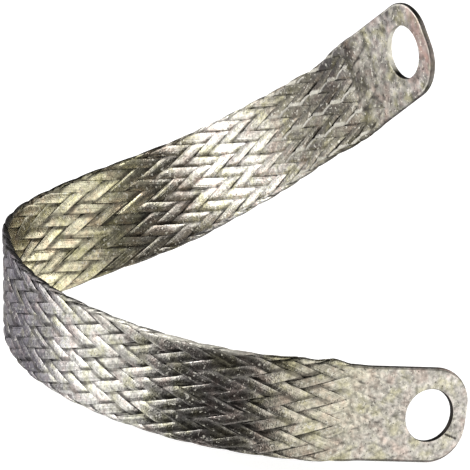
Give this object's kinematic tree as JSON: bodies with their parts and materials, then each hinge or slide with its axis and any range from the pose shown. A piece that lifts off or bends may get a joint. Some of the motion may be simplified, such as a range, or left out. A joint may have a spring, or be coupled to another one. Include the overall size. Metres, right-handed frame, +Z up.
{
  "type": "flexible busbar braid",
  "caption": "Flat woven tinned copper strap bent into a loop, with a pressed flat palm and a round bolt hole at each end.",
  "frame": {"origin": "on the floor, under the middle of the bounding box, with the strap standing on its lower edge as it comes to rest", "axes": "+Z up; +X to the right as the strap is seen from its near palm's side, from the closed bend on the left to both palms on the right; +Y from the near arm to the far arm"},
  "size_m": [0.099, 0.097, 0.0853],
  "materials": {
    "tinned_copper": "tinned copper wire, dull bright, with darker tin in the seams of the weave"
  },
  "bodies": {
    "root": {"braid_strap": "tinned_copper"}
  },
  "joints": []
}
